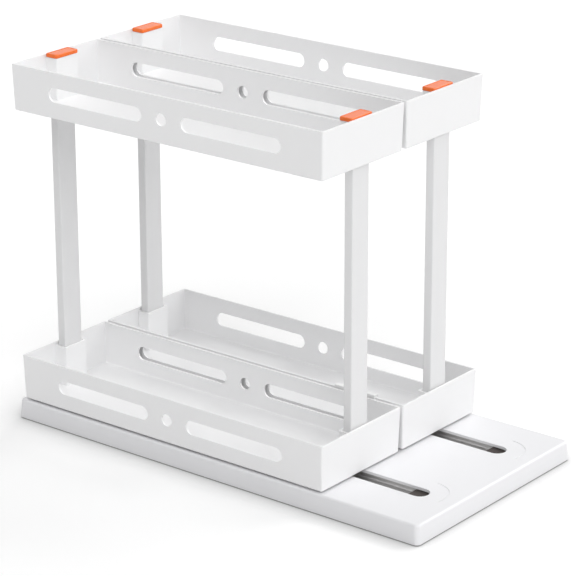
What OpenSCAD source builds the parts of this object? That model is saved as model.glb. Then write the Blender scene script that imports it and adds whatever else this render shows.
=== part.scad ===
// Two-tier sliding organizer: two carriages with trays on one base, each on its own track.
// X runs along the trays with the front at +X, Y across them and Z up from the floor.

/* [Trays] */
// Outside length of a tray at its rim
tray_len = 380; // [320:1:440]
// Outside width of a tray at its rim
tray_w = 122.75; // [95:0.25:160]
// Height of a tray
tray_h = 46.5; // [40:0.5:60]
// Thickness of tray walls and floor
tray_wall = 2.2; // [2:0.1:2.6]
// How far each wall leans in at the floor
tray_draft = 1.3; // [0.6:0.1:1.5]
// Radius of the upright corners
tray_corner_r = 1.8; // [1.6:0.1:5]
// Radius of the bottom edge
tray_edge_r = 1.6; // [1:0.1:2]
// Gap between the two carriages at the rims
tray_gap = 4; // [3:0.5:16]
// Rise from a lower tray to the upper tray over it
tier_rise = 301; // [220:1:340]

/* [Wall openings] */
// Length of each long opening
vent_len = 118; // [80:1:125]
// Height of each long opening
vent_h = 14.5; // [8:0.5:18]
// Distance from the tray's middle to a long opening
vent_offset = 24; // [16:1:28]
// Diameter of the round opening in the middle
vent_hole_d = 12.5; // [8:0.5:16]
// Height of the openings' centre line above the tray's underside
vent_z = 24; // [20:0.5:26]

/* [Posts] */
// Post thickness along the tray
post_x = 9.5; // [8:0.1:12]
// Post width across the tray
post_y = 25; // [20:0.5:32]
// Post wall
post_wall = 1.6; // [1.2:0.1:2]
// Radius of the post's upright edges
post_r = 1.2; // [0.6:0.1:1.6]
// Distance from a tray's end to the post
post_inset = 3.6; // [3.4:0.1:5]
// Play around a post in its collar
post_clear = 0.25; // [0.15:0.05:0.4]
// Thickness of a collar at its sides
collar_side = 2.75; // [2:0.05:4]
// Thickness of a collar at its front
collar_front = 3.25; // [2:0.05:4]
// Depth of the upper collar's top below the rim
sleeve_drop = 2.5; // [1.5:0.1:4]
// Thickness of the upper collar's roof
sleeve_roof = 2; // [1.6:0.1:3]
// Depth of the lower collar's top below the rim
socket_drop = 3; // [1.5:0.1:5]
// Width and depth of the shadow groove round the post's foot
socket_mouth = 0.8; // [0.4:0.1:1.2]

/* [Locks] */
// Thickness of a lock's head
lock_h = 3.7; // [3:0.1:5]
// How far a lock's head stands past the collar at each side
lock_lip = 0.3; // [0:0.1:0.6]
// Corner radius of the head
lock_r = 1.8; // [1.6:0.1:4]
// Rounding of the head's top edge
lock_edge_r = 1.1; // [0.6:0.1:1.4]
// Length of the two-legged tongue below the head
tongue_len = 14; // [12:0.5:20]

/* [Base] */
// Height of the deck above the floor
deck_z = 20.5; // [19:0.5:24]
// Thickness of the deck
deck_t = 2.8; // [2.4:0.1:3.2]
// Thickness of the base's side walls
base_wall = 2.4; // [2:0.1:3]
// How far the base's sides lean in at the deck
base_draft = 1.2; // [0.4:0.1:2]
// Radius of the base's upright corners
base_corner_r = 5; // [4:0.5:8]
// Radius of the deck's outer edge
base_edge_r = 2.5; // [1.5:0.1:2.8]
// Base standing out behind the trays
base_back = 6.5; // [4:0.5:20]
// Base standing out in front of the trays
base_front = 110.5; // [100:0.5:140]
// Base standing out beside the trays
base_side = 1.75; // [1.5:0.25:10]
// Gap between a lower tray and the deck
tray_lift = 2; // [1.5:0.1:4]
// Thickness of the bottom cover
cover_t = 2.4; // [2.2:0.1:3]
// Diameter of a foot
foot_d = 16; // [12:1:20]
// Height of the feet below the base
foot_proud = 1.2; // [0.8:0.1:1.6]

/* [Tracks] */
// Width of a track slot in the deck
slot_w = 19; // [16:0.5:22]
// Distance from the base's front to a slot's tip
slot_nose = 34; // [30:1:40]
// Outside width of a rail
rail_w = 27; // [26:0.5:32]
// Rail sheet thickness
rail_t = 1.2; // [1:0.1:1.5]
// Inside radius of the rail's bends
rail_bend = 2; // [1:0.1:2.4]
// Inside depth of a rail
rail_depth = 5.6; // [5.2:0.1:6.4]
// Distance from a slot's front tip to the rail's end
rail_nose = 22; // [18:1:26]
// Sliding travel of a carriage
travel = 200; // [120:1:210]
// Length of a glide
glide_len = 60; // [50:1:64]
// Distance from a tray's rear end to its rear glide
glide_start = 15; // [12:1:20]
// Running play round the glides
glide_clear = 0.3; // [0.2:0.05:0.4]
// Play of a tray's necks in the slot at each side
neck_clear = 0.6; // [0.3:0.05:1]

/* [Rim clip] */
// Length of the clip
clip_len = 48; // [30:1:60]
// Distance from the tray's front end to the clip
clip_front = 33; // [20:1:60]
// Height of the clip above the rim
clip_rise = 3; // [1.5:0.1:4]
// Thickness of the clip's legs
clip_leg = 2.1; // [1.4:0.1:2.4]
// Depth of the clip's legs
clip_depth = 8; // [5:0.5:12]

/* [Hidden] */

// Facets of round shapes, and of the corners inside a hull
$fn = 48;
hull_fn = 32;
// Overrun of every cut, and the thickness of a layer inside a hull
over = 0.5;
layer = 0.02;
// Steps of a rounded edge
edge_steps = 3;

// Overall plan of the base
base_len = base_back + tray_len + base_front;
base_w = 2 * tray_w + tray_gap + 2 * base_side;
// Rear end of the trays at rest, and each carriage's centre line
rest_x = base_back - base_len / 2;
lane_y = (tray_w + tray_gap) / 2;

// Heights, from the floor
lower_z = deck_z + tray_lift;
upper_z = lower_z + tier_rise;
deck_under = deck_z - deck_t;
cover_recess = 1;
cover_z = foot_proud + cover_recess;
cover_top = cover_z + cover_t;
rail_floor = deck_under - rail_depth;
rail_under = rail_floor - rail_t;

// Slots and rails, measured from the trays' rear end at rest
neck_margin = 8;
neck_len = glide_len - 2 * neck_margin;
neck_w = slot_w - 2 * neck_clear;
slot_tail_play = 1;
slot_from = glide_start + neck_margin - slot_tail_play;
slot_to = tray_len + base_front - slot_nose;
// The rear glide rests by the rear buffer, and the front glide ends its travel by the front buffer
stop_gap = 0.3;
rail_play = 0.2;
rear_buffer_to = glide_start - stop_gap;
rail_from = rear_buffer_to + rail_play;
rail_to = slot_to - rail_nose;
front_buffer_from = rail_to + rail_play;
front_glide_start = front_buffer_from - stop_gap - travel - glide_len;

// Glides and their screws
glide_under = rail_floor + glide_clear;
glide_top = deck_under - glide_clear;
glide_r = 4;
groove_w = 10;
groove_h = 1.7;
screw_d = 3;
screw_play = 0.05;
head_d = 6.4;
head_h = 1.5;
head_play = 0.3;
glide_screw_pitch = 26;
glide_screw_len = 7;
glide_screw_skin = 0.9;

// Rail screws stand low on the rail's floor, below the glides' grooves
rail_head_h = 1.1;
rail_screw_len = 5;
rail_screw_shares = [0.06, 0.35, 0.64, 0.93];
rail_boss_d = 8;
rib_t = 2;
bed_gap = 16;

// Buffers at the rails' ends
rear_buffer_len = 13;
front_buffer_len = 24;
buffer_w = rail_w - 2 * rail_t;
buffer_drop = 1.2;
buffer_r = 2;

// Cover, its screws and the feet
cover_play = 0.4;
cover_boss_d = 11;
cover_boss_rise = 1.6;
deck_boss_d = 8;
cover_screw_len = 8;
cover_screw_inset = 11;
cover_screw_x_end = base_len / 2 - base_wall - base_draft - cover_screw_inset;
cover_screw_y = base_w / 2 - base_wall - base_draft - cover_screw_inset;
cover_screw_shares = [-1, -0.34, 0.34, 1];
foot_pocket = 1.2;
foot_play = 0.1;
foot_inset = 32;
foot_shares = [0, 0.5, 1];
foot_bevel = 0.6;

// Deck marks: a shallow quarter ring round each slot's front end
mark_r = 26.5;
mark_w = 0.9;
mark_depth = 0.3;
mark_from = -15;
mark_sweep = 105;

// Collars, measured from the tray's end
collar_root = (tray_draft + tray_wall) / 2;
collar_reach = post_inset + post_x + post_clear + collar_front;
collar_w = post_y + 2 * (post_clear + collar_side);
collar_r = 1.5;

// Lock heads and tongues
lock_gap = 0.3;
lock_wall_gap = 0.4;
lock_foot_in = 0.15;
lock_inlay = 1.9;
lock_inlay_depth = 0.3;
tongue_play = 0.3;
tongue_side_play = 1.9;
tongue_x = post_x - 2 * post_wall - 2 * tongue_play;
tongue_y = post_y - 2 * post_wall - 2 * tongue_side_play;
tongue_slot = 5;
tongue_tip = 3;
tongue_tip_in = 1.2;

// Rim clip
clip_play = 0.15;

// A block on z = 0 with rounded upright edges, centred in plan
module round_block(x, y, h, r) {
    for (s = [-1, 1])
        for (t = [-1, 1])
            translate([s * (x / 2 - r), t * (y / 2 - r), 0])
                cylinder(r = r, h = h);
    translate([-x / 2 + r, -y / 2, 0])
        cube([x - 2 * r, y, h]);
    translate([-x / 2, -y / 2 + r, 0])
        cube([x, y - 2 * r, h]);
}

// A bar on z = 0 with half-round ends from x = 0 to x = len
module stadium(len, w, h) {
    for (x = [w / 2, len - w / 2])
        translate([x, 0, 0])
            cylinder(d = w, h = h);
    translate([w / 2, -w / 2, 0])
        cube([len - w, w, h]);
}

// One layer of a hull: a rounded rectangle centred in plan
module layer_at(z, x, y, r) {
    for (s = [-1, 1])
        for (t = [-1, 1])
            translate([s * (x / 2 - r), t * (y / 2 - r), z])
                cylinder(r = r, h = layer, $fn = hull_fn);
}

// Solid with leaning sides and a rounded bottom edge: x and y are its size at the top
module tub_form(x, y, h, lean, corner_r, edge_r) {
    hull() {
        layer_at(h - layer, x, y, corner_r);
        for (i = [0:edge_steps])
            let (
                a = 90 * i / edge_steps,
                rise = edge_r * (1 - cos(a)),
                inset = edge_r * (1 - sin(a)) + lean * (1 - rise / h)
            )
            layer_at(rise, x - 2 * inset, y - 2 * inset, max(corner_r - edge_r * (1 - sin(a)), corner_r / 3));
    }
}

// Round hole along Y through both side walls, and the long openings beside it
module vents() {
    translate([tray_len / 2, 0, vent_z])
        rotate([90, 0, 0]) {
            cylinder(d = vent_hole_d, h = tray_w + 2 * over, center = true);
            for (s = [0, 1])
                mirror([s, 0, 0])
                    translate([vent_offset, 0, -tray_w / 2 - over])
                        stadium(vent_len, vent_h, tray_w + 2 * over);
        }
}

// Collar block at a tray's rear end, from the floor up to the given height
module collar(top) {
    translate([collar_root, -collar_w / 2, tray_wall / 2])
        cube([collar_reach - collar_root - collar_r, collar_w, top - tray_wall / 2]);
    translate([collar_reach - collar_r, 0, tray_wall / 2])
        for (s = [-1, 1])
            translate([0, s * (collar_w / 2 - collar_r), 0])
                cylinder(r = collar_r, h = top - tray_wall / 2);
    translate([collar_root, -collar_w / 2 + collar_r, tray_wall / 2])
        cube([collar_reach - collar_root, collar_w - 2 * collar_r, top - tray_wall / 2]);
}

// Room for a post in its collar, with the given extra on every side
module post_room(from, top, extra) {
    translate([post_inset - extra, -post_y / 2 - extra, from])
        cube([post_x + 2 * extra, post_y + 2 * extra, top - from]);
}

// What is at a tray's rear end is repeated at its front end
module both_ends() {
    children();
    translate([tray_len, 0, 0])
        mirror([1, 0, 0])
            children();
}

// Tray shell with its openings, on z = 0, from x = 0, centred on y = 0
module tray_shell() {
    difference() {
        translate([tray_len / 2, 0, 0])
            tub_form(tray_len, tray_w, tray_h, tray_draft, tray_corner_r, tray_edge_r);
        translate([tray_len / 2, 0, tray_wall])
            tub_form(
                tray_len - 2 * tray_wall, tray_w - 2 * tray_wall, tray_h - tray_wall + over,
                tray_draft, tray_corner_r - tray_wall / 2, tray_edge_r / 2
            );
        vents();
    }
}

// Lower tray: collars open upward, and two necks reach down through the deck's slot
module lower_tray() {
    socket_top = tray_h - socket_drop;
    neck_h = lower_z - glide_top;
    color("white")
        translate([0, 0, lower_z])
            difference() {
                union() {
                    tray_shell();
                    both_ends()
                        collar(socket_top);
                    for (x = [glide_start, front_glide_start])
                        translate([x + neck_margin, 0, -neck_h])
                            stadium(neck_len, neck_w, neck_h + tray_wall / 2);
                }
                both_ends() {
                    post_room(tray_wall, socket_top + over, post_clear);
                    post_room(socket_top - socket_mouth, socket_top + over, post_clear + socket_mouth);
                }
                for (x = [glide_start, front_glide_start])
                    glide_screw_places(x)
                        translate([0, 0, -neck_h - over])
                            cylinder(
                                d = screw_d + 2 * screw_play,
                                h = neck_h + over + tray_wall - glide_screw_skin
                            );
            }
}

// Upper tray: collars open downward, with a roof that rests on the post and lets the lock's tongue in
module upper_tray() {
    sleeve_top = tray_h - sleeve_drop;
    color("white")
        translate([0, 0, upper_z])
            difference() {
                union() {
                    tray_shell();
                    both_ends()
                        collar(sleeve_top);
                }
                both_ends() {
                    post_room(-over, sleeve_top - sleeve_roof, post_clear);
                    translate([post_inset + post_x / 2, 0, sleeve_top - sleeve_roof - over])
                        centred_box(
                            tongue_x + 2 * tongue_play, tongue_y + 2 * tongue_play,
                            sleeve_roof + 2 * over
                        );
                }
            }
}

module centred_box(x, y, h) {
    translate([-x / 2, -y / 2, 0])
        cube([x, y, h]);
}

// Post: a flat tube from the lower tray's floor to the upper collar's roof
module post() {
    from = lower_z + tray_wall;
    top = upper_z + tray_h - sleeve_drop - sleeve_roof;
    color("whitesmoke")
        translate([post_inset + post_x / 2, 0, from])
            difference() {
                round_block(post_x, post_y, top - from, post_r);
                translate([0, 0, -over])
                    centred_box(post_x - 2 * post_wall, post_y - 2 * post_wall, top - from + 2 * over);
            }
}

// Lock: rounded head on the collar, with a two-legged tongue down into the post
module lock() {
    seat = upper_z + tray_h - sleeve_drop + lock_gap;
    head_from = tray_wall + lock_wall_gap;
    head_x = collar_reach + lock_lip - head_from;
    head_y = collar_w + 2 * lock_lip;
    color("orangered") {
        difference() {
            translate([head_from + head_x / 2, 0, seat])
                lock_head(head_x, head_y);
            translate([head_from + head_x / 2, 0, seat + lock_h - lock_inlay_depth])
                round_block(
                    head_x - 2 * lock_inlay, head_y - 2 * lock_inlay,
                    lock_inlay_depth + over, lock_r - lock_inlay / 2
                );
        }
        for (s = [0, 1])
            mirror([0, s, 0])
                translate([post_inset + post_x / 2 - tongue_x / 2, 0, seat])
                    rotate([90, 0, 90])
                        linear_extrude(tongue_x)
                            polygon([
                                [tongue_slot / 2, lock_h / 2],
                                [tongue_slot / 2, -tongue_len],
                                [tongue_y / 2 - tongue_tip_in, -tongue_len],
                                [tongue_y / 2, -tongue_len + tongue_tip],
                                [tongue_y / 2, lock_h / 2]
                            ]);
    }
}

// Head of a lock: rounded on top, and drawn in a little at its foot
module lock_head(x, y) {
    hull() {
        layer_at(0, x - 2 * lock_foot_in, y - 2 * lock_foot_in, lock_r - lock_foot_in);
        for (i = [0:edge_steps])
            let (a = 90 * i / edge_steps, inset = lock_edge_r * (1 - cos(a)))
            layer_at(
                lock_h - lock_edge_r + lock_edge_r * sin(a) - layer * sin(a),
                x - 2 * inset, y - 2 * inset, lock_r - inset
            );
    }
}

// Glide below a neck: fills the rail with a little play, and clears the rail screws with a groove
module glide(from) {
    w = rail_w - 2 * rail_t - 2 * glide_clear;
    h = glide_top - glide_under;
    color("gray")
        translate([from, 0, glide_under])
            difference() {
                intersection() {
                    translate([glide_len / 2, 0, 0])
                        round_block(glide_len, w, h, glide_r);
                    rotate([90, 0, 90])
                        linear_extrude(glide_len)
                            channel_form(w, h, rail_bend - glide_clear);
                }
                translate([-over, -groove_w / 2, -over])
                    cube([glide_len + 2 * over, groove_w, groove_h + over]);
                glide_screw_places(0) {
                    translate([0, 0, -over])
                        cylinder(d = screw_d + 2 * screw_play, h = h + 2 * over);
                    translate([0, 0, groove_h / 2])
                        cylinder(d = head_d + 2 * head_play, h = groove_h / 2 + head_h);
                }
            }
}

// Two screw places in the glide that starts at x
module glide_screw_places(x) {
    for (s = [-1, 1])
        translate([x + glide_len / 2 + s * glide_screw_pitch / 2, 0, 0])
            children();
}

// A pan-head screw: the head's seat is on z = 0, the shank runs up
module screw(len, head) {
    translate([0, 0, -layer])
        cylinder(d = screw_d, h = len + layer);
    translate([0, 0, -head])
        cylinder(d = head_d, h = head);
}

module glide_screws() {
    color("silver")
        for (x = [glide_start, front_glide_start])
            glide_screw_places(x)
                translate([0, 0, glide_under + groove_h + head_h])
                    screw(glide_screw_len, head_h);
}

// Rail: a channel bent from sheet, open upward under the deck's slot
module rail() {
    h = deck_under - rail_under;
    color("darkgray")
        difference() {
            translate([rail_from, 0, rail_under])
                rotate([90, 0, 90])
                    linear_extrude(rail_to - rail_from)
                        difference() {
                            channel_form(rail_w, h, rail_bend + rail_t);
                            translate([0, rail_t])
                                channel_form(rail_w - 2 * rail_t, h, rail_bend);
                        }
            rail_screw_places()
                translate([0, 0, rail_under - over])
                    cylinder(d = screw_d + 2 * screw_play, h = rail_t + 2 * over);
        }
}

// Flat form of the channel: square at the top, rounded at the bottom corners
module channel_form(w, h, r) {
    for (s = [-1, 1])
        translate([s * (w / 2 - r), r])
            circle(r = r);
    translate([-w / 2 + r, 0])
        square([w - 2 * r, h]);
    translate([-w / 2, r])
        square([w, h - r]);
}

module rail_screw_places() {
    for (k = rail_screw_shares)
        translate([rail_from + k * (rail_to - rail_from), 0, 0])
            children();
}

module rail_screws() {
    color("silver")
        for (s = [-1, 1])
            translate([rest_x, s * lane_y, rail_floor])
                rail_screw_places()
                    mirror([0, 0, 1])
                        screw(rail_screw_len, rail_head_h);
}

// Rubber buffers on the cover, one past each end of a rail
module buffer(from, len) {
    color("#222222")
        translate([from + len / 2, 0, cover_top])
            round_block(len, buffer_w, deck_under - buffer_drop - cover_top, buffer_r);
}

module rear_buffer() {
    buffer(rear_buffer_to - rear_buffer_len, rear_buffer_len);
}

module front_buffer() {
    buffer(front_buffer_from, front_buffer_len);
}

// Base shell, open below, with leaning sides and a rounded top edge
module base_shell() {
    h = deck_z - foot_proud;
    difference() {
        translate([0, 0, foot_proud])
            hull() {
                layer_at(0, base_len, base_w, base_corner_r);
                for (i = [0:edge_steps])
                    let (
                        a = 90 * i / edge_steps,
                        inset = base_draft + base_edge_r * (1 - cos(a))
                    )
                    layer_at(
                        h - base_edge_r + base_edge_r * sin(a) - layer,
                        base_len - 2 * inset, base_w - 2 * inset,
                        base_corner_r - base_edge_r * (1 - cos(a)) / 2
                    );
            }
        hull() {
            layer_at(
                foot_proud - over, base_len - 2 * base_wall, base_w - 2 * base_wall, base_corner_r / 2
            );
            layer_at(
                deck_under - layer, base_len - 2 * (base_wall + base_draft),
                base_w - 2 * (base_wall + base_draft), base_corner_r / 2
            );
        }
    }
}

// Base deck: the shell with the track slots, marks, screw bosses and a rib between the tracks
module base_deck() {
    rib_top = deck_under + layer;
    rib_bottom = cover_top + cover_boss_rise;
    color("white")
        difference() {
            union() {
                base_shell();
                cover_screw_places()
                    translate([0, 0, rib_bottom])
                        cylinder(d = deck_boss_d, h = rib_top - rib_bottom);
                // Long rib down the middle
                translate([-cover_screw_x_end, -rib_t / 2, rib_bottom])
                    cube([2 * cover_screw_x_end, rib_t, rib_top - rib_bottom]);
            }
            for (s = [-1, 1])
                translate([rest_x + slot_from, s * lane_y, deck_under - over])
                    stadium(slot_to - slot_from, slot_w, deck_t + 2 * over);
            cover_screw_places()
                translate([0, 0, rib_bottom - over])
                    cylinder(d = screw_d + 2 * screw_play, h = cover_screw_len);
            for (s = [-1, 1])
                translate([rest_x + slot_to - slot_w / 2, s * lane_y, deck_z - mark_depth])
                    rotate([0, 0, mark_from])
                        rotate_extrude(angle = mark_sweep)
                            translate([mark_r, 0])
                                square([mark_w, mark_depth + over]);
        }
}

module cover_screw_places() {
    for (k = cover_screw_shares)
        for (s = [-1, 1])
            translate([k * cover_screw_x_end, s * cover_screw_y, 0])
                children();
}

module foot_places() {
    for (k = foot_shares)
        for (s = [-1, 1])
            translate([(k - 1 / 2) * (base_len - 2 * foot_inset), s * (base_w / 2 - foot_inset), 0])
                children();
}

// Bottom cover: a plate with long ribs under each rail, and bosses for both sets of screws
module base_cover() {
    edge = base_wall + base_draft + cover_play;
    bed_h = rail_under - cover_top + layer;
    color("gainsboro")
        difference() {
            union() {
                translate([0, 0, cover_z])
                    round_block(base_len - 2 * edge, base_w - 2 * edge, cover_t, base_corner_r / 2);
                cover_screw_places()
                    translate([0, 0, cover_z])
                        cylinder(d = cover_boss_d, h = cover_t + cover_boss_rise);
                for (s = [-1, 1])
                    translate([rest_x, s * lane_y, cover_top - layer]) {
                        for (t = [-1, 1])
                            translate([rail_from, t * bed_gap / 2 - rib_t / 2, 0])
                                cube([rail_to - rail_from, rib_t, bed_h]);
                        rail_screw_places()
                            cylinder(d = rail_boss_d, h = bed_h);
                    }
            }
            cover_screw_places()
                translate([0, 0, cover_z - over]) {
                    cylinder(d = screw_d + 2 * screw_play, h = cover_t + cover_boss_rise + 2 * over);
                    cylinder(d = head_d + 2 * head_play, h = head_h + over);
                }
            for (s = [-1, 1])
                translate([rest_x, s * lane_y, rail_under - rail_screw_len])
                    rail_screw_places()
                        cylinder(d = screw_d + 2 * screw_play, h = rail_screw_len + over);
            foot_places()
                translate([0, 0, cover_z - over])
                    cylinder(d = foot_d + 2 * foot_play, h = foot_pocket + over);
        }
}

module cover_screws() {
    color("silver")
        cover_screw_places()
            translate([0, 0, cover_z + head_h])
                screw(cover_screw_len, head_h);
}

module base_feet() {
    color("dimgray")
        foot_places() {
            translate([0, 0, foot_bevel])
                cylinder(d = foot_d, h = cover_z + foot_pocket - foot_bevel);
            cylinder(d1 = foot_d - 2 * foot_bevel, d2 = foot_d, h = foot_bevel);
        }
}

// Sides: the left carriage is on -y, the right one on +y
module on_left() {
    translate([rest_x, -lane_y, 0])
        children();
}

module on_right() {
    translate([rest_x, lane_y, 0])
        children();
}

module at_front() {
    translate([tray_len, 0, 0])
        mirror([1, 0, 0])
            children();
}

// Rim clip: a saddle over the right lower tray's inner wall
module rim_clip() {
    inner = clip_play;
    lean = tray_draft * clip_depth / tray_h;
    color("white")
        translate([
            rest_x + tray_len - clip_front - clip_len, lane_y - tray_w / 2, lower_z + tray_h
        ])
            rotate([90, 0, 90])
                linear_extrude(clip_len)
                    polygon([
                        [-inner - clip_leg, clip_rise],
                        [-inner - clip_leg, -clip_depth],
                        [-inner, -clip_depth],
                        [-inner, 0],
                        [tray_wall + inner, 0],
                        [tray_wall + inner + lean, -clip_depth],
                        [tray_wall + inner + lean + clip_leg, -clip_depth],
                        [tray_wall + inner + clip_leg, clip_rise]
                    ]);
}

base_deck();
base_cover();
cover_screws();
base_feet();
on_left() rail();  // left_rail
on_right() rail();  // right_rail
rail_screws();
on_left() rear_buffer();  // left_rear_buffer
on_left() front_buffer();  // left_front_buffer
on_right() rear_buffer();  // right_rear_buffer
on_right() front_buffer();  // right_front_buffer
on_left() lower_tray();  // left_lower_tray
on_left() upper_tray();  // left_upper_tray
on_left() post();  // left_rear_post
on_left() at_front() post();  // left_front_post
on_left() lock();  // left_rear_lock
on_left() at_front() lock();  // left_front_lock
on_left() glide(glide_start);  // left_rear_glide
on_left() glide(front_glide_start);  // left_front_glide
on_left() glide_screws();  // left_glide_screws
on_right() lower_tray();  // right_lower_tray
on_right() upper_tray();  // right_upper_tray
on_right() post();  // right_rear_post
on_right() at_front() post();  // right_front_post
on_right() lock();  // right_rear_lock
on_right() at_front() lock();  // right_front_lock
on_right() glide(glide_start);  // right_rear_glide
on_right() glide(front_glide_start);  // right_front_glide
on_right() glide_screws();  // right_glide_screws
rim_clip();
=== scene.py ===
import math

import bmesh
import bpy
import numpy as np
from mathutils import Matrix, Vector


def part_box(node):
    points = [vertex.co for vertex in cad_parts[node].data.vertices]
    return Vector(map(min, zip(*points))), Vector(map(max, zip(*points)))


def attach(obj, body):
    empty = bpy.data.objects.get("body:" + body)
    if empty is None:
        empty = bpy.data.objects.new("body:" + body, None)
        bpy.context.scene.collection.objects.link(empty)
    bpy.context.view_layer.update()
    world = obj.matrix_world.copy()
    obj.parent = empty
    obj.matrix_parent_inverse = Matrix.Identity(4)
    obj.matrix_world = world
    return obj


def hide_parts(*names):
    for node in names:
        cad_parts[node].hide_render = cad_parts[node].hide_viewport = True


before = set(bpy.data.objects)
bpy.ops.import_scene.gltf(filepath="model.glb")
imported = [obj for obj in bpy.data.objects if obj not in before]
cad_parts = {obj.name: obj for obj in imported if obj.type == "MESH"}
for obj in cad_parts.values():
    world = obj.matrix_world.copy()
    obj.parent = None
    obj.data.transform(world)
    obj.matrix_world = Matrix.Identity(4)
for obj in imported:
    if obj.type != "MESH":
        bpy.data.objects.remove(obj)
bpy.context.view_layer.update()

# Camera: a long lens a little above the trays, turned so that the front ends and the near sides both show.
# It looks at a point near the middle of the organizer.
MM = 0.001
camera_azimuth = math.radians(38.47)
camera_elevation = math.radians(19.83)
camera_roll = math.radians(-0.16)
camera_distance = 2568.8 * MM
aim_height = 185 * MM
aim_right = -0.5 * MM
aim_up = -25.1 * MM
sensor_width = 36
camera_lens = 165.71

toward_camera = Vector((
    math.sin(camera_azimuth) * math.cos(camera_elevation),
    -math.cos(camera_azimuth) * math.cos(camera_elevation),
    math.sin(camera_elevation),
))
level_right = Vector((math.cos(camera_azimuth), math.sin(camera_azimuth), 0))
level_up = toward_camera.cross(level_right)
view_right = level_right * math.cos(camera_roll) + level_up * math.sin(camera_roll)
view_up = level_up * math.cos(camera_roll) - level_right * math.sin(camera_roll)
aim = Vector((0, 0, aim_height)) + view_right * aim_right + view_up * aim_up

camera_data = bpy.data.cameras.new("camera")
camera_data.sensor_width = sensor_width
camera_data.lens = camera_lens
camera = bpy.data.objects.new("camera", camera_data)
turn = Matrix((view_right, view_up, toward_camera)).transposed().to_4x4()
camera.matrix_world = Matrix.Translation(aim + toward_camera * camera_distance) @ turn
bpy.context.scene.collection.objects.link(camera)
bpy.context.scene.camera = camera


# Studio floor and light: white paper that runs out past the view, and a white room with four broad lamps. The
# strongest stands behind the trays and lights their floors, rims and openings, and the one beside the camera
# lights the near walls. The camera sees the paper lifted to white, with its shadow left on it. Close round the
# object a painted contact shadow darkens the paper's colour, most where the least of the room is seen.
class Wire:
    """An output of a node, in its tree. Arithmetic with numbers or other wires adds Math nodes."""

    def __init__(self, tree, socket=None):
        self.tree = tree
        self.socket = socket

    def node(self, kind, settings=None, inputs=None, out=0):
        """A new node: its settings come first, then the values or wires of its inputs."""
        made = self.tree.nodes.new(kind)
        for name, value in (settings or {}).items():
            setattr(made, name, value)
        for name, value in (inputs or {}).items():
            if isinstance(value, Wire):
                self.tree.links.new(value.socket, made.inputs[name])
            else:
                made.inputs[name].default_value = value
        return Wire(self.tree, made.outputs[out] if made.outputs else None)

    def math(self, operation, *values):
        return self.node("ShaderNodeMath", {"operation": operation}, dict(enumerate(values)))

    def __add__(self, other):
        return self.math("ADD", self, other)

    def __sub__(self, other):
        return self.math("SUBTRACT", self, other)

    def __rsub__(self, other):
        return self.math("SUBTRACT", other, self)

    def __mul__(self, other):
        return self.math("MULTIPLY", self, other)

    def __pow__(self, other):
        return self.math("POWER", self, other)

    def __rpow__(self, other):
        return self.math("POWER", other, self)

    __radd__ = __add__
    __rmul__ = __mul__


def seen_by_camera(nodes):
    """1 for rays from the camera, straight or by way of gloss or glass, and 0 for the rays that carry light."""
    straight, gloss, glass = (
        nodes.node("ShaderNodeLightPath", out=f"Is {kind} Ray") for kind in ("Camera", "Glossy", "Transmission")
    )
    return straight.math("MAXIMUM", straight, gloss.math("MAXIMUM", gloss, glass))


paper_half = 9.0
paper_white = 0.9
paper_lift = 0.17
# Reach and depth of the painted contact shadow that darkens the paper's colour near the object.
painted_shadow_reach = 30 * MM
painted_shadow_depth = 0.8
room_light = 0.3
lamps = {
    "back_lamp": (1.4, math.radians(50), Vector((0.2, 1.0, 0.8))),
    "side_lamp": (1.3, math.radians(50), Vector((0.6, -0.8, 1.1))),
    "front_lamp": (0.7, math.radians(50), Vector((1.0, 0.1, 0.5))),
    "top_lamp": (0.1, math.radians(80), Vector((0, 0, 1))),
}

paper = bpy.data.materials.new("studio_paper")
paper.use_nodes = True
paper.node_tree.nodes.clear()
nodes = Wire(paper.node_tree)
grain = nodes.node("ShaderNodeTexNoise", {}, {"Scale": 700.0, "Detail": 2.0})
rough = nodes.node("ShaderNodeBump", {}, {"Strength": 0.04, "Distance": 0.1 * MM, "Height": grain})
# Painted contact shadow: ambient occlusion darkens the paper's colour close to the object.
openness_for_painted_shadow = nodes.node("ShaderNodeAmbientOcclusion", {"samples": 12}, {"Distance": painted_shadow_reach}, out="AO")
white = openness_for_painted_shadow ** painted_shadow_depth * paper_white
matte = nodes.node("ShaderNodeBsdfDiffuse", {}, {"Color": white, "Normal": rough})
lift = nodes.node("ShaderNodeEmission", {}, {"Strength": seen_by_camera(nodes) * paper_lift})
nodes.node("ShaderNodeOutputMaterial", {}, {"Surface": nodes.node("ShaderNodeAddShader", {}, {0: matte, 1: lift})})

floor_mesh = bpy.data.meshes.new("studio_floor")
floor_corners = [(x * paper_half, y * paper_half, 0) for x, y in ((-1, -1), (1, -1), (1, 1), (-1, 1))]
floor_mesh.from_pydata(floor_corners, [], [(0, 1, 2, 3)])
floor_mesh.materials.append(paper)
studio_floor = bpy.data.objects.new("studio_floor", floor_mesh)
bpy.context.scene.collection.objects.link(studio_floor)

world = bpy.data.worlds.new("white_room")
world.use_nodes = True
world.node_tree.nodes.clear()
nodes = Wire(world.node_tree)
strength = seen_by_camera(nodes) * (1 - room_light) + room_light
white_walls = nodes.node("ShaderNodeBackground", {}, {"Color": (1, 1, 1, 1), "Strength": strength})
nodes.node("ShaderNodeOutputWorld", {}, {"Surface": white_walls})
bpy.context.scene.world = world
bpy.context.scene.view_settings.view_transform = "Standard"

for name, (energy, spread, way) in lamps.items():
    lamp_data = bpy.data.lights.new(name, "SUN")
    lamp_data.energy = energy
    lamp_data.angle = spread
    lamp = bpy.data.objects.new(name, lamp_data)
    lamp.matrix_world = way.to_track_quat("Z", "Y").to_matrix().to_4x4()
    bpy.context.scene.collection.objects.link(lamp)


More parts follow.
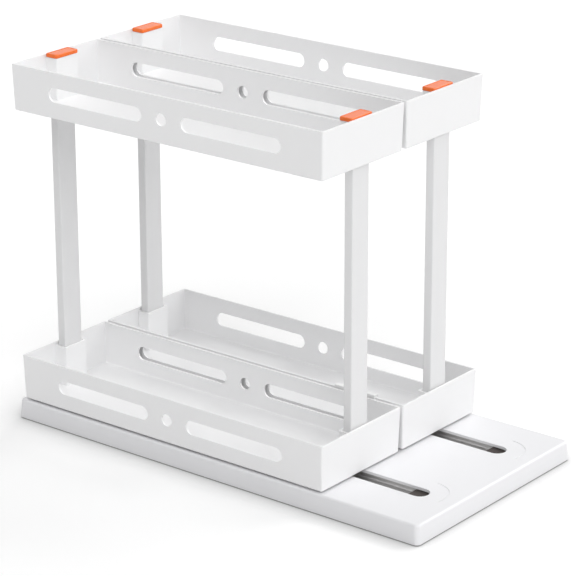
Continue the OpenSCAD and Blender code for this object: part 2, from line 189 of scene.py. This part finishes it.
# Base deck: the white shell that carries both tracks, moulded in satin plastic and open below.
# Its sides lean in a little, its upper edge is rolled over, and a shallow mark is sunk at the front of each slot.
def extent(node):
    """Lowest and highest corner of a node at rest, in millimetres, as every shape below is."""
    low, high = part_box(node)
    return np.array(low) / MM, np.array(high) / MM


def quarter_turn(count):
    """Evenly spread angles from 0 to a right angle."""
    return np.linspace(0, math.pi / 2, count)


def rings(x0, x1, y0, y1, radius, height, axis="z", steps=8):
    """Points on rounded rectangles, one row for each height: a point is its corner's centre plus the radius times
    (cos a, sin a), with a going once round. For another axis, x and y stand for the two axes that follow it."""
    sizes = np.broadcast_arrays(*np.atleast_1d(x0, x1, y0, y1, radius, height))
    x0, x1, y0, y1, radius, height = (size[:, None] for size in sizes)
    angle = np.concatenate([quarter_turn(steps + 1) + k * math.pi / 2 for k in range(4)])
    right = np.repeat([True, False, False, True], steps + 1)
    top = np.repeat([True, True, False, False], steps + 1)
    x = np.where(right, x1 - radius, x0 + radius) + radius * np.cos(angle)
    y = np.where(top, y1 - radius, y0 + radius) + radius * np.sin(angle)
    return np.roll(np.stack([x, y, height + 0 * x], -1), "zxy".index(axis), -1)


def skin(rows, closed=False):
    """Corners and faces of a grid of rows that each go once round: quads between the rows, and a cap on the first
    and the last row, or quads from the last row back to the first."""
    count, around = rows.shape[:2]
    index = np.arange(count * around).reshape(count, around)
    low = index if closed else index[:-1]
    high = np.roll(index, -1, 0) if closed else index[1:]
    quads = np.stack([low, np.roll(low, -1, 1), np.roll(high, -1, 1), high], -1).reshape(-1, 4)
    return rows.reshape(-1, 3), [quads] if closed else [quads, index[:1, ::-1], index[-1:]]


def block(x, y, z, radius, axis="z"):
    """A straight block between two places on each axis, with rounded edges along one of them."""
    order = {"z": (x, y, z), "x": (y, z, x), "y": (z, x, y)}[axis]
    return skin(rings(*order[0], *order[1], radius, order[2], axis))


def solid(name, *skins):
    """One object made of closed skins, with coincident points merged and every face turned outward."""
    starts = np.cumsum([0] + [len(corners) for corners, faces in skins])
    shapes = [(part + start).tolist() for start, (corners, faces) in zip(starts, skins) for part in faces]
    mesh = bpy.data.meshes.new(name)
    mesh.from_pydata(np.concatenate([corners for corners, faces in skins]) * MM, [], sum(shapes, []))
    work = bmesh.new()
    work.from_mesh(mesh)
    bmesh.ops.remove_doubles(work, verts=work.verts, dist=MM / 500)
    bmesh.ops.recalc_face_normals(work, faces=work.faces)
    work.to_mesh(mesh)
    work.free()
    made = bpy.data.objects.new(name, mesh)
    bpy.context.scene.collection.objects.link(made)
    return made


def carve(piece, operation, *skins):
    """Adds closed skins to a piece (UNION) or takes them out of it (DIFFERENCE)."""
    tool = solid("tool", *skins)
    step = piece.modifiers.new("carve", "BOOLEAN")
    step.operation = operation
    step.object = tool
    step.solver = "MANIFOLD"
    before = piece.data
    piece.data = bpy.data.meshes.new_from_object(piece.evaluated_get(bpy.context.evaluated_depsgraph_get()))
    piece.modifiers.clear()
    bpy.data.meshes.remove(before)
    bpy.data.meshes.remove(tool.data)


def place(piece, finish, body, node, edge):
    """Softens the piece's sharp edges, gives it its finish, hides the CAD node that it stands for, and sets its
    body.
    """
    piece.data.shade_smooth()
    piece.data.materials.clear()
    piece.data.materials.append(finish)
    soft = piece.modifiers.new("soft edges", "BEVEL")
    soft.width = edge * MM
    soft.segments = 2
    soft.limit_method = "ANGLE"
    soft.angle_limit = math.radians(40)
    piece.modifiers.new("level faces", "WEIGHTED_NORMAL")
    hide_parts(node)
    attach(piece, body)


def new_finish(name):
    """A material with an empty tree, the tree as a wire, and the wire that gives a point's place on the piece."""
    finish = bpy.data.materials.new(name)
    finish.use_nodes = True
    finish.node_tree.nodes.clear()
    nodes = Wire(finish.node_tree)
    return finish, nodes, nodes.node("ShaderNodeTexCoord", out="Object")


def surface(nodes, inputs):
    """Ends a material in one shader with these inputs."""
    shader = nodes.node("ShaderNodeBsdfPrincipled", {}, inputs)
    nodes.node("ShaderNodeOutputMaterial", {}, {"Surface": shader})


def blended(nodes, share, low, high):
    """A colour between two colours, by a share."""
    return nodes.node("ShaderNodeMix", {"data_type": "RGBA"}, {0: share, 6: (*low, 1), 7: (*high, 1)}, out=2)


def moulded_plastic(name, colour, roughness, grain):
    """Moulded plastic: a fine eroded grain, and slow waves of shade and gloss where the melt flowed and cooled."""
    finish, nodes, spot = new_finish(name)
    flow = nodes.node("ShaderNodeTexNoise", {}, {"Vector": spot, "Scale": 11.0, "Detail": 3.0, "Roughness": 0.55})
    cloud = nodes.node("ShaderNodeTexNoise", {}, {"Vector": spot, "Scale": 70.0, "Detail": 4.0})
    pits = nodes.node("ShaderNodeTexNoise", {}, {"Vector": spot, "Scale": 1 / (grain * MM), "Detail": 2.0})
    sink = nodes.node("ShaderNodeBump", {}, {"Strength": 0.15, "Distance": 0.4 * MM, "Height": flow})
    bump = nodes.node("ShaderNodeBump", {}, {
        "Strength": 0.12, "Distance": 0.05 * MM, "Height": pits, "Normal": sink
    })
    darker = [value * 0.97 for value in colour]
    surface(nodes, {
        "Base Color": blended(nodes, flow * 0.6 + cloud * 0.4, darker, colour),
        "Roughness": (cloud - 0.5) * 0.12 + (pits - 0.5) * 0.06 + roughness,
        "IOR": 1.49,
        "Normal": bump,
    })
    return finish


lane = (extent("right_rail")[0][1] + extent("right_rail")[1][1]) / 2
lanes = {"left": -lane, "right": lane}
deck_wall = 2.4
deck_thickness = 2.8
deck_lean = 1.2
deck_corner = 5.0
deck_roll = 2.5
foot_edge = 0.3
slot_half = 9.5
slot_nose = 34.0
slot_tail = 28.5
mark_radius = 26.5
mark_width = 1.2
mark_depth = 0.5
mark_from = -15
mark_to = 90
mark_points = 36
boss_half = 4.0
boss_inset = 14.6
boss_pairs = 4
rib_half = 1.0
fin_foot = 4.0
fin_root = 1.0
cut_over = 0.5

deck_low, deck_high = extent("base_deck")
deck_top = deck_high[2]
deck_under = deck_top - deck_thickness
fins = (extent("base_cover")[0][2] + fin_foot, deck_under + fin_root)
turn = quarter_turn(7)
inset = np.concatenate([
    [deck_wall + deck_lean, deck_wall, foot_edge, 0], deck_lean + deck_roll * (1 - np.cos(turn))
])
height = np.concatenate([
    [deck_under, deck_low[2], deck_low[2], deck_low[2] + foot_edge], deck_top - deck_roll * (1 - np.sin(turn))
])
corner = np.where(np.arange(len(inset)) < 2, deck_corner / 2, deck_corner - (inset - deck_lean).clip(0) / 2)
base_deck = solid("deck_shell", skin(rings(
    deck_low[0] + inset, deck_high[0] - inset, deck_low[1] + inset, deck_high[1] - inset, corner, height
)))

boss_x = np.linspace(deck_low[0] + boss_inset, deck_high[0] - boss_inset, boss_pairs)
bosses = [
    block((x - boss_half, x + boss_half), (y - boss_half, y + boss_half), fins, boss_half)
    for x in boss_x for y in (deck_low[1] + boss_inset, deck_high[1] - boss_inset)
]
rib = block((boss_x[0], boss_x[-1]), (-rib_half, rib_half), fins, rib_half / 4)
carve(base_deck, "UNION", rib, *bosses)

slot_tip = deck_high[0] - slot_nose
slots = [
    block(
        (deck_low[0] + slot_tail, slot_tip), (y - slot_half, y + slot_half),
        (deck_under - cut_over, deck_top + cut_over), slot_half
    )
    for y in lanes.values()
]
sweep = np.radians(np.linspace(mark_from, mark_to, mark_points))[:, None]
ring = mark_radius + np.array([[0, mark_width, mark_width, 0]])
depth = deck_top + np.array([[-mark_depth, -mark_depth, cut_over, cut_over]])
marks = [
    skin(np.stack([
        slot_tip - slot_half + ring * np.cos(sweep), y + ring * np.sin(sweep), depth + 0 * sweep
    ], -1))
    for y in lanes.values()
]
carve(base_deck, "DIFFERENCE", *slots, *marks)
deck_plastic = moulded_plastic("deck_plastic", (0.8, 0.8, 0.816), 0.36, 0.5)
place(base_deck, deck_plastic, "base", "base_deck", 0.5)


# Bottom cover, its screws and the feet: a grey plate screwed up into the deck's bosses, which carries the rails,
# and six rubber feet glued into its pockets, so that the base stands a hair above the floor.
def dress(finish, *names):
    """Gives CAD nodes a finish."""
    for name in names:
        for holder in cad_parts[name].material_slots:
            holder.material = finish


def rubber(name, colour, roughness, speck):
    """Moulded rubber: matt, with a dusty bloom in patches and a fine gritty grain."""
    finish, nodes, spot = new_finish(name)
    bloom = nodes.node("ShaderNodeTexNoise", {}, {
        "Vector": spot, "Scale": 160.0, "Detail": 5.0, "Roughness": 0.65
    })
    grit = nodes.node("ShaderNodeTexVoronoi", {}, {"Vector": spot, "Scale": 1 / (speck * MM)})
    bump = nodes.node("ShaderNodeBump", {}, {"Strength": 0.5, "Distance": 0.12 * MM, "Height": grit * 0.6 + bloom})
    dusty = [value * 1.6 + 0.01 for value in colour]
    surface(nodes, {
        "Base Color": blended(nodes, bloom * bloom * 1.6, colour, dusty),
        "Roughness": (bloom - 0.5) * 0.25 + roughness,
        "IOR": 1.3,
        "Normal": bump,
    })
    return finish


def steel(name, colour, roughness, stretch):
    """Bright steel: fine scratches, drawn out along x by the stretch, and cloudy patches of thicker zinc."""
    finish, nodes, spot = new_finish(name)
    drawn = nodes.node("ShaderNodeMapping", {}, {"Vector": spot, "Scale": (1 / stretch, 1, 1)})
    scratch = nodes.node("ShaderNodeTexNoise", {}, {"Vector": drawn, "Scale": 2600.0, "Detail": 3.0})
    cloud = nodes.node("ShaderNodeTexNoise", {}, {"Vector": spot, "Scale": 90.0, "Detail": 4.0})
    bump = nodes.node("ShaderNodeBump", {}, {"Strength": 0.25, "Distance": 0.03 * MM, "Height": scratch})
    dull = [value * 0.82 for value in colour]
    surface(nodes, {
        "Base Color": blended(nodes, scratch * 0.5 + cloud * 0.5, dull, colour),
        "Metallic": 1.0,
        "Roughness": (scratch - 0.5) * 0.2 + (cloud - 0.5) * 0.15 + roughness,
        "Normal": bump,
    })
    return finish


zinc = steel("zinc_plate", (0.66, 0.67, 0.68), 0.33, 1)
dress(moulded_plastic("cover_plastic", (0.62, 0.62, 0.63), 0.48, 0.6), "base_cover")
dress(zinc, "cover_screws")
dress(rubber("foot_rubber", (0.06, 0.06, 0.062), 0.72, 0.5), "base_feet")


# Rails and their screws: two channels bent up from sheet steel and zinc plated, brushed along their length by
# the rolls. Flat screws hold each one down on the cover's bosses, below the glides.
dress(steel("brushed_steel", (0.6, 0.595, 0.59), 0.5, 60), "left_rail", "right_rail")
dress(zinc, "rail_screws")


# Buffers: blocks of dark foamed rubber between cover and deck, one past each end of a rail. They stop the glides
# softly, and the front ones show as a dark pocket at the slots' tips.
buffer_corner = 2.0
buffer_roll = 0.8
buffer_rubber = rubber("buffer_rubber", (0.05, 0.042, 0.04), 0.7, 0.7)
for node in [f"{side}_{end}_buffer" for side in lanes for end in ("rear", "front")]:
    low, high = extent(node)
    turn = quarter_turn(5)
    inset = np.concatenate([buffer_roll * (1 - np.sin(turn)), buffer_roll * (1 - np.cos(turn))])
    height = np.concatenate([
        low[2] + buffer_roll * (1 - np.cos(turn)), high[2] - buffer_roll * (1 - np.sin(turn))
    ])
    pad = solid(f"{node}_pad", skin(rings(
        low[0] + inset, high[0] - inset, low[1] + inset, high[1] - inset, buffer_corner - inset / 2, height
    )))
    place(pad, buffer_rubber, "base", node, 0.2)


# Lower trays: thin white trays moulded in one piece with a socket for the post at each end, and with two necks
# below that reach through the deck's slot. Both long sides have two long openings and a round one between them.
def from_end(low, high, end, near, far):
    """Two places along a tray, at two distances from its rear end, or from its front end when end is 1."""
    return (high - far, high - near) if end else (low + near, low + far)


def at_ends(low, high, y, near, far, half, z, radius):
    """Two blocks about a tray's middle line, one by each end, between two distances from that end."""
    return [block(from_end(low[0], high[0], end, near, far), (y - half, y + half), z, radius) for end in (0, 1)]


def tray_shell(name, low, high):
    """A tray between two corners. Its section runs in along the bottom edge's arc, up the leaning wall, over the
    rounded rim, down the inside and along the inner arc to the floor, and is carried round the corners."""
    size = high[2] - low[2]
    turn = quarter_turn(6)
    sine, cosine = np.sin(turn), np.cos(turn)
    rise = np.concatenate([
        tray_edge * (1 - cosine), size - tray_lip * (1 - sine), size - tray_lip * (1 - sine[::-1]),
        tray_wall + tray_fillet * (1 - cosine[::-1])
    ])
    lean = tray_lean * (1 - rise / size)
    wall = np.concatenate([
        tray_edge * (1 - sine), tray_lip * (1 - cosine), tray_wall - tray_lip * (1 - cosine[::-1]),
        tray_wall + tray_fillet * (1 - sine[::-1])
    ])
    inset = lean + wall
    corner = (tray_corner - wall / 2).clip(tray_corner / 3)
    return solid(name, skin(rings(
        low[0] + inset, high[0] - inset, low[1] + inset, high[1] - inset, corner, low[2] + rise
    )))


def wall_openings(low, high):
    """Cutters through both side walls: two long openings with round ends and a round one between them."""
    x = (low[0] + high[0]) / 2
    z = low[2] + vent_rise
    through = (low[1] - cut_over, high[1] + cut_over)
    long_z = (z - vent_height / 2, z + vent_height / 2)
    hole_x, hole_z = ((c - hole_width / 2, c + hole_width / 2) for c in (x, z))
    return [
        block((x + vent_near, x + vent_far), through, long_z, vent_height / 2, "y"),
        block((x - vent_far, x - vent_near), through, long_z, vent_height / 2, "y"),
        block(hole_x, through, hole_z, hole_width / 2, "y"),
    ]


tray_height = 46.5
tray_wall = 2.2
tray_lean = 1.3
tray_corner = 1.8
tray_edge = 1.6
tray_lip = 0.3
tray_fillet = 1.5
vent_near = 24.0
vent_far = 142.0
vent_height = 14.5
vent_rise = 24.0
hole_width = 12.5
collar_root = 1.75
collar_reach = 16.6
collar_half = 15.5
collar_corner = 1.5
post_near = 3.6
post_far = 13.1
post_half = 12.5
post_play = 0.25
socket_drop = 3.0
socket_mouth = 0.8
neck_half = 8.9
neck_margin = 8.0
tray_plastic = moulded_plastic("tray_plastic", (0.885, 0.885, 0.89), 0.34, 0.5)
for side, y in lanes.items():
    low, high = extent(f"{side}_lower_tray")
    under, low[2] = low[2], high[2] - tray_height
    tray = tray_shell(f"{side}_lower_tray_shell", low, high)
    collar_top = high[2] - socket_drop
    collars = at_ends(
        low, high, y, collar_root, collar_reach, collar_half, (low[2] + tray_wall / 2, collar_top), collar_corner
    )
    glides = [extent(f"{side}_{end}_glide") for end in ("rear", "front")]
    necks = [
        block(
            (glide_low[0] + neck_margin, glide_high[0] - neck_margin), (y - neck_half, y + neck_half),
            (under, low[2] + tray_wall / 2), neck_half
        )
        for glide_low, glide_high in glides
    ]
    carve(tray, "UNION", *collars, *necks)
    sockets, mouths = (
        at_ends(
            low, high, y, post_near - play, post_far + play, post_half + play, (floor, collar_top + cut_over), play
        )
        for play, floor in ((post_play, low[2] + tray_wall), (post_play + socket_mouth, collar_top - socket_mouth))
    )
    carve(tray, "DIFFERENCE", *wall_openings(low, high), *sockets)
    carve(tray, "DIFFERENCE", *mouths)
    place(tray, tray_plastic, f"{side}_carriage", f"{side}_lower_tray", 0.45)


# Glides and their screws: grey blocks of slippery plastic below the necks, milled round at the corners. They ride
# in the rails, and two screws from below hold each one to its neck.
dress(moulded_plastic("glide_plastic", (0.32, 0.33, 0.34), 0.42, 0.4), *[
    f"{side}_{end}_glide" for side in lanes for end in ("rear", "front")
])
dress(zinc, "left_glide_screws", "right_glide_screws")


# Posts: flat tubes of white plastic, one at each end of a carriage. Each stands in the lower tray's socket and
# reaches up into the upper tray's collar.
post_wall = 1.6
post_corner = 1.2
# The posts' plastic is the trays' white set greyer: painted shade for the darker near faces of the posts.
post_plastic = moulded_plastic("post_plastic", (0.77, 0.77, 0.775), 0.42, 0.6)
for node in [f"{side}_{end}_post" for side in lanes for end in ("rear", "front")]:
    low, high = extent(node)
    wall = np.array([0, 0, post_wall, post_wall])
    tube = solid(f"{node}_tube", skin(rings(
        low[0] + wall, high[0] - wall, low[1] + wall, high[1] - wall, post_corner - wall / 2,
        [low[2], high[2], high[2], low[2]]
    ), closed=True))
    place(tube, post_plastic, f"{node.split('_')[0]}_carriage", node, 0.3)


# Upper trays: the same trays without necks. Their collars open downward onto the posts, and each has a roof that
# rests on its post and lets the lock's tongue in.
sleeve_drop = 2.5
sleeve_roof = 2.0
tongue_near = 5.2
tongue_far = 11.5
tongue_half = 9.3
for side, y in lanes.items():
    low, high = extent(f"{side}_upper_tray")
    tray = tray_shell(f"{side}_upper_tray_shell", low, high)
    collar_top = high[2] - sleeve_drop
    collars = at_ends(
        low, high, y, collar_root, collar_reach, collar_half, (low[2] + tray_wall / 2, collar_top), collar_corner
    )
    carve(tray, "UNION", *collars)
    sleeves = at_ends(
        low, high, y, post_near - post_play, post_far + post_play, post_half + post_play,
        (low[2] - cut_over, collar_top - sleeve_roof), post_play
    )
    tongue_rooms = at_ends(
        low, high, y, tongue_near, tongue_far, tongue_half,
        (collar_top - sleeve_roof - cut_over, collar_top + cut_over), post_play
    )
    carve(tray, "DIFFERENCE", *wall_openings(low, high), *sleeves)
    carve(tray, "DIFFERENCE", *tongue_rooms)
    place(tray, tray_plastic, f"{side}_carriage", f"{side}_upper_tray", 0.45)


# Locks: glossy orange caps with a sunk panel on top. The two legs below push down into the post's open top, and
# the cap lifts out to free the upper tray.
lock_thickness = 3.7
lock_corner = 1.8
lock_roll = 1.1
lock_foot = 0.15
panel_inset = 1.9
panel_depth = 0.3
leg_near = 2.5
leg_far = 9.0
leg_tip = 3.0
leg_taper = 1.2
leg_x = 2.85
leg_corner = 0.5
leg_inset = (post_near + post_far) / 2
lock_plastic = moulded_plastic("lock_plastic", (0.92, 0.165, 0.015), 0.24, 0.8)
for side, y in lanes.items():
    for end, name in enumerate(("rear", "front")):
        node = f"{side}_{name}_lock"
        low, high = extent(node)
        turn = quarter_turn(7)
        seat = high[2] - lock_thickness
        inset = np.concatenate([
            [lock_foot, 0], lock_roll * (1 - np.cos(turn)),
            [panel_inset - panel_depth, panel_inset + panel_depth / 2]
        ])
        height = np.concatenate([
            [seat, seat + lock_foot], high[2] - lock_roll * (1 - np.sin(turn)), [high[2], high[2] - panel_depth]
        ])
        cap = solid(f"{node}_cap", skin(rings(
            low[0] + inset, high[0] - inset, low[1] + inset, high[1] - inset, lock_corner - inset / 2, height
        )))
        tray_low, tray_high = extent(f"{side}_upper_tray")
        middle = tray_high[0] - leg_inset if end else tray_low[0] + leg_inset
        leg_rise = np.array([low[2], low[2] + leg_tip, seat + lock_thickness / 2])
        outer = np.array([leg_far - leg_taper, leg_far, leg_far])
        legs = [
            skin(rings(middle - leg_x, middle + leg_x, start, stop, leg_corner, leg_rise))
            for start, stop in ((y + leg_near, y + outer), (y - outer, y - leg_near))
        ]
        carve(cap, "UNION", *legs)
        place(cap, lock_plastic, node, node, 0.15)


# Rim clip: a small white saddle pushed over the rim of the right lower tray's inner wall, near its front end. Its
# two legs grip the wall, and it rides with the right carriage.
clip_leg = 2.1
clip_depth = 8.0
clip_play = 0.15
clip_low, clip_high = extent("rim_clip")
lower_low, lower_high = extent("right_lower_tray")
clip_lean = tray_lean * clip_depth / tray_height
inner = lower_low[1] + tray_wall + clip_play
profile = np.array([
    (clip_low[1], clip_high[2]), (clip_low[1], clip_low[2]), (clip_low[1] + clip_leg, clip_low[2]),
    (clip_low[1] + clip_leg, lower_high[2]), (inner, lower_high[2]), (inner + clip_lean, clip_low[2]),
    (clip_high[1], clip_low[2]), (clip_high[1] - clip_lean, clip_high[2])
])
ends = np.array([clip_low[0], clip_high[0]])[:, None, None] + np.zeros((2, len(profile), 1))
clip = solid("clip_saddle", skin(np.concatenate([ends, np.broadcast_to(profile, (2, *profile.shape))], -1)))
clip_plastic = moulded_plastic("clip_plastic", (0.88, 0.88, 0.88), 0.3, 0.6)
place(clip, clip_plastic, "right_carriage", "rim_clip", 0.6)
